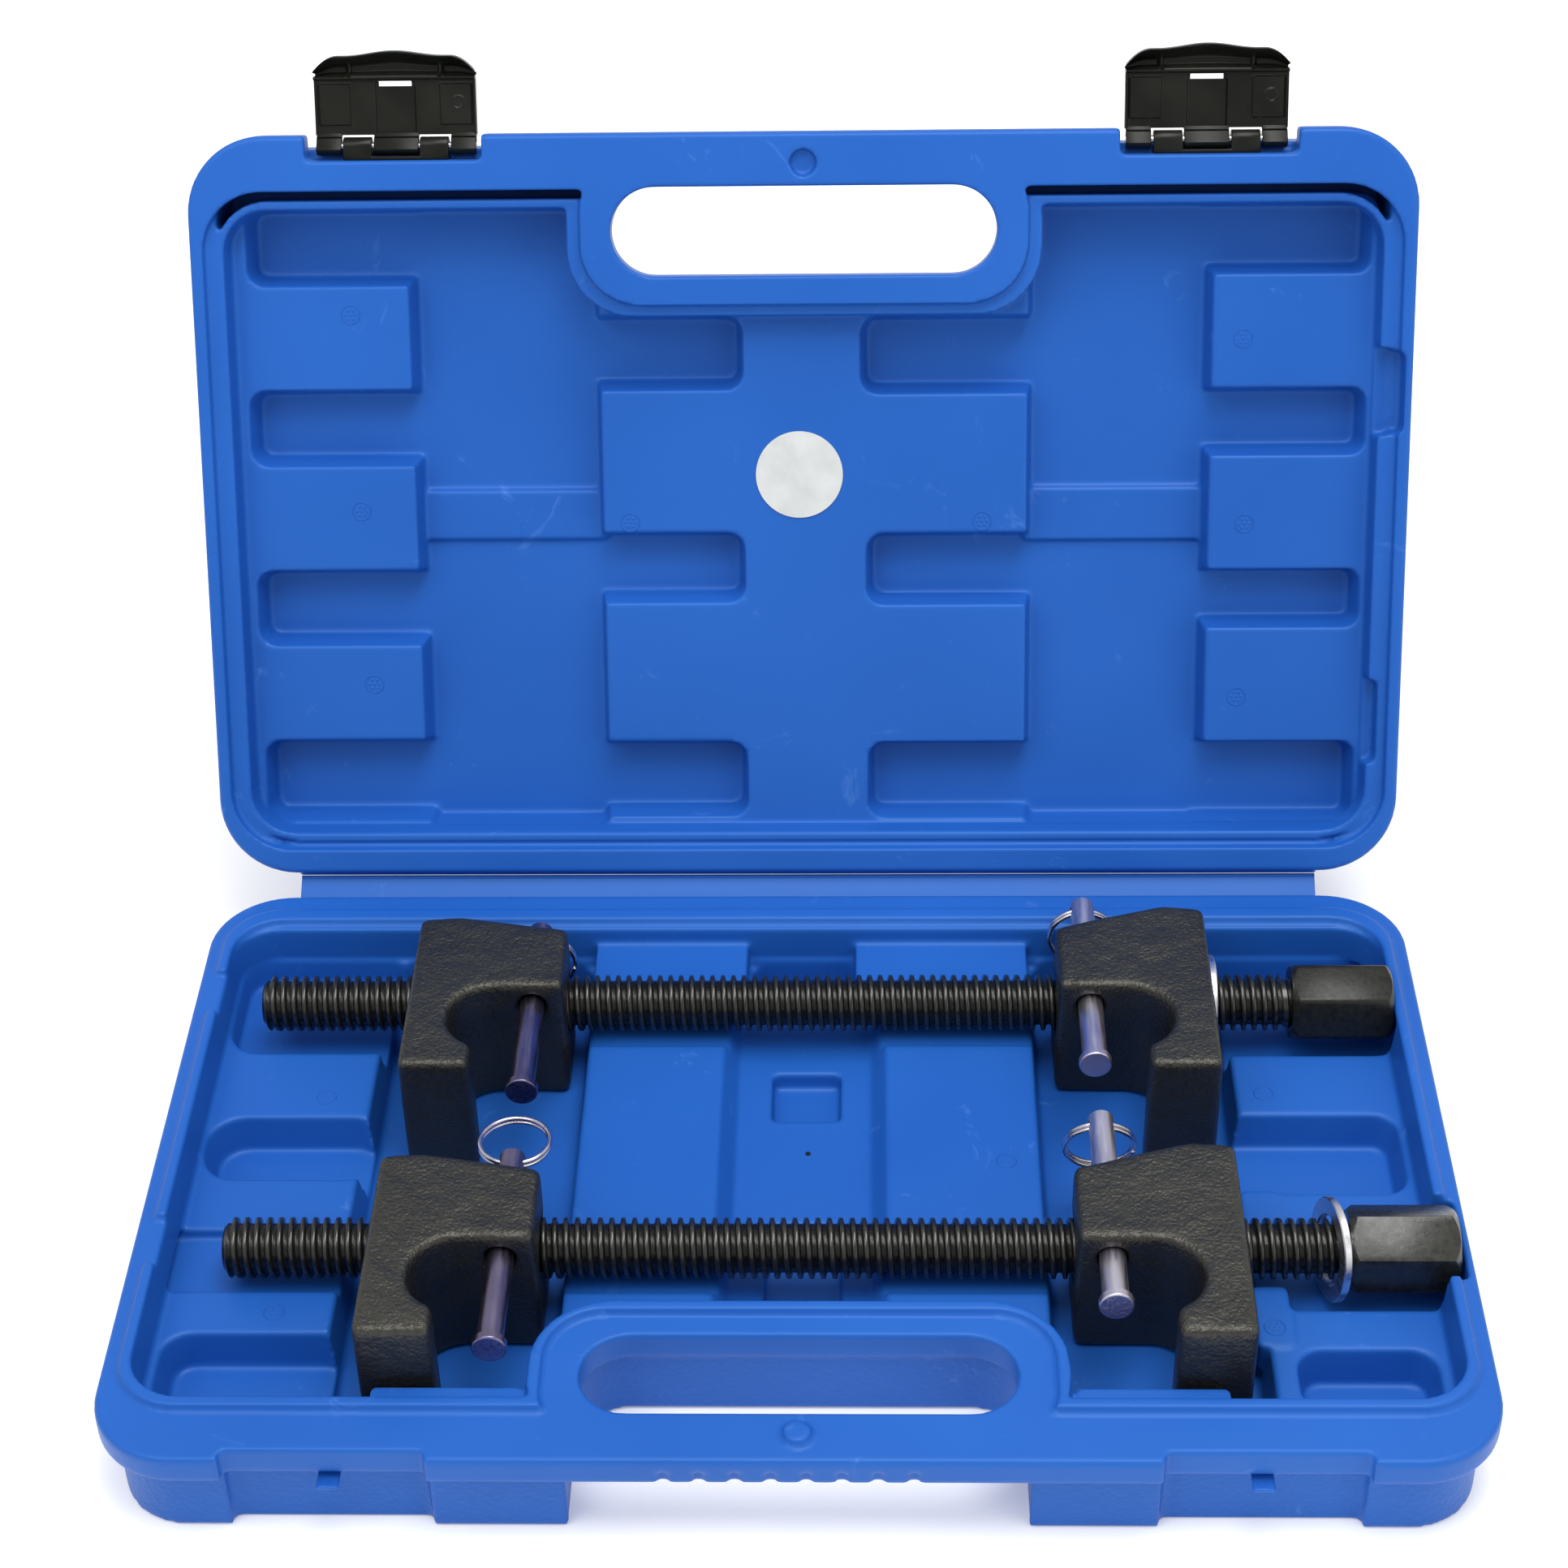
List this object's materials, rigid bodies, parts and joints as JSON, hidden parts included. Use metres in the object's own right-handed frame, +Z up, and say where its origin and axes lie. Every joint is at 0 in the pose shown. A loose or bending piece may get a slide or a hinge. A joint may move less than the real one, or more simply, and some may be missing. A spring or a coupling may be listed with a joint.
{
  "type": "coil spring compressor kit",
  "caption": "Coil spring compressor kit: threaded spindles with hooked clamping jaws and locking pins, lying in a hinged double-wall carry case with an open lid and flip latches.",
  "frame": {"origin": "centre of the case foot in plan, at the underside of the base", "axes": "+X along the spindles towards their hexes, +Y towards the lid hinge, +Z up"},
  "size_m": [0.407, 0.3869, 0.2938],
  "materials": {
    "blue_shell": "satin blow-moulded polyethylene",
    "label": "satin film, blank",
    "black_plastic": "satin",
    "oiled_steel": "black oxide, oiled",
    "forged_black": "rough black coat on a forging",
    "zinc_violet": "bright zinc with a violet tint",
    "zinc": "dull zinc"
  },
  "bodies": {
    "base": {"case_base": "blue_shell"},
    "web": {"hinge_web": "blue_shell"},
    "lid": {"case_lid": "blue_shell", "blank_label": "label", "latch_mount_left": "black_plastic", "latch_pin_left": "zinc", "latch_mount_right": "black_plastic", "latch_pin_right": "zinc"},
    "latch_left": {"latch_left": "black_plastic"},
    "latch_right": {"latch_right": "black_plastic"},
    "front_washer": {"washer_front": "zinc"},
    "front_spindle": {"spindle_front": "oiled_steel"},
    "front_threaded_jaw": {"threaded_jaw_front": "forged_black"},
    "front_sliding_jaw": {"sliding_jaw_front": "forged_black"},
    "front_pin_left": {"pin_front_left": "zinc_violet"},
    "front_ring_left": {"ring_front_left": "zinc_violet"},
    "front_pin_right": {"pin_front_right": "zinc_violet"},
    "front_ring_right": {"ring_front_right": "zinc_violet"},
    "rear_washer": {"washer_rear": "zinc"},
    "rear_spindle": {"spindle_rear": "oiled_steel"},
    "rear_threaded_jaw": {"threaded_jaw_rear": "forged_black"},
    "rear_sliding_jaw": {"sliding_jaw_rear": "forged_black"},
    "rear_pin_left": {"pin_rear_left": "zinc_violet"},
    "rear_ring_left": {"ring_rear_left": "zinc_violet"},
    "rear_pin_right": {"pin_rear_right": "zinc_violet"},
    "rear_ring_right": {"ring_rear_right": "zinc_violet"}
  },
  "joints": [
    {"name": "lid_swing", "type": "hinge", "parent": "web", "child": "lid", "pos_m": [0, 0.13533, 0.0344], "axis": [-1, 0, 0], "range_deg": [-56.63, 33.35]},
    {"name": "strip_fold", "type": "hinge", "parent": "base", "child": "web", "pos_m": [0, 0.12865, 0.03], "axis": [-1, 0, 0], "range_deg": [-56.63, 33.35]},
    {"name": "latch_left_flip", "type": "hinge", "parent": "lid", "child": "latch_left", "pos_m": [-0.1337, 0.23737, 0.26374], "axis": [-1, 0, 0], "range_deg": [-90, 20]},
    {"name": "latch_right_flip", "type": "hinge", "parent": "lid", "child": "latch_right", "pos_m": [0.1337, 0.23737, 0.26374], "axis": [-1, 0, 0], "range_deg": [-90, 20]},
    {"name": "front_lift_out", "type": "slide", "parent": "base", "child": "front_washer", "axis": [0, 0, 1], "range_m": [0, 0.15]},
    {"name": "front_spindle_turn", "type": "hinge", "parent": "front_washer", "child": "front_spindle", "pos_m": [0, -0.039, 0.03], "axis": [1, 0, 0], "range_deg": [-360, 360]},
    {"name": "front_jaw_travel", "type": "slide", "parent": "front_washer", "child": "front_threaded_jaw", "axis": [1, 0, 0], "range_m": [-0.0035, 0.0035]},
    {"name": "front_jaw_slide", "type": "slide", "parent": "front_washer", "child": "front_sliding_jaw", "axis": [1, 0, 0], "range_m": [-0.005, 0.0015]},
    {"name": "front_pin_left_slide", "type": "slide", "parent": "front_threaded_jaw", "child": "front_pin_left", "axis": [0, 1, 0], "range_m": [-0.0025, 0.007]},
    {"name": "front_ring_left_swing", "type": "hinge", "parent": "front_pin_left", "child": "front_ring_left", "pos_m": [-0.0885, -0.0175, 0.0443], "axis": [1, 0, 0], "range_deg": [-45, 10]},
    {"name": "front_pin_right_slide", "type": "slide", "parent": "front_sliding_jaw", "child": "front_pin_right", "axis": [0, 1, 0], "range_m": [-0.01, 0.0155]},
    {"name": "front_ring_right_swing", "type": "hinge", "parent": "front_pin_right", "child": "front_ring_right", "pos_m": [0.094, -0.0005, 0.0443], "axis": [1, 0, 0], "range_deg": [-25, 25]},
    {"name": "rear_lift_out", "type": "slide", "parent": "base", "child": "rear_washer", "axis": [0, 0, 1], "range_m": [0, 0.15]},
    {"name": "rear_spindle_turn", "type": "hinge", "parent": "rear_washer", "child": "rear_spindle", "pos_m": [0, 0.074, 0.03], "axis": [1, 0, 0], "range_deg": [-360, 360]},
    {"name": "rear_jaw_travel", "type": "slide", "parent": "rear_washer", "child": "rear_threaded_jaw", "axis": [1, 0, 0], "range_m": [-0.0035, 0.0035]},
    {"name": "rear_jaw_slide", "type": "slide", "parent": "rear_washer", "child": "rear_sliding_jaw", "axis": [1, 0, 0], "range_m": [-0.005, 0.0002]},
    {"name": "rear_pin_left_slide", "type": "slide", "parent": "rear_threaded_jaw", "child": "rear_pin_left", "axis": [0, 1, 0], "range_m": [-0.0005, 0.012]},
    {"name": "rear_ring_left_swing", "type": "hinge", "parent": "rear_pin_left", "child": "rear_ring_left", "pos_m": [-0.0885, 0.091, 0.0443], "axis": [1, 0, 0], "range_deg": [-1, 22]},
    {"name": "rear_pin_right_slide", "type": "slide", "parent": "rear_sliding_jaw", "child": "rear_pin_right", "axis": [0, 1, 0], "range_m": [-0.006, 0.0005]},
    {"name": "rear_ring_right_swing", "type": "hinge", "parent": "rear_pin_right", "child": "rear_ring_right", "pos_m": [0.094, 0.1035, 0.0443], "axis": [1, 0, 0], "range_deg": [-5, 1]}
  ],
  "couplings": [
    {"joint": "strip_fold", "follows": "lid_swing", "ratio": 1},
    {"joint": "front_spindle_turn", "follows": "front_jaw_travel", "rad_per_m": 1795.2},
    {"joint": "rear_spindle_turn", "follows": "rear_jaw_travel", "rad_per_m": 1795.2}
  ]
}
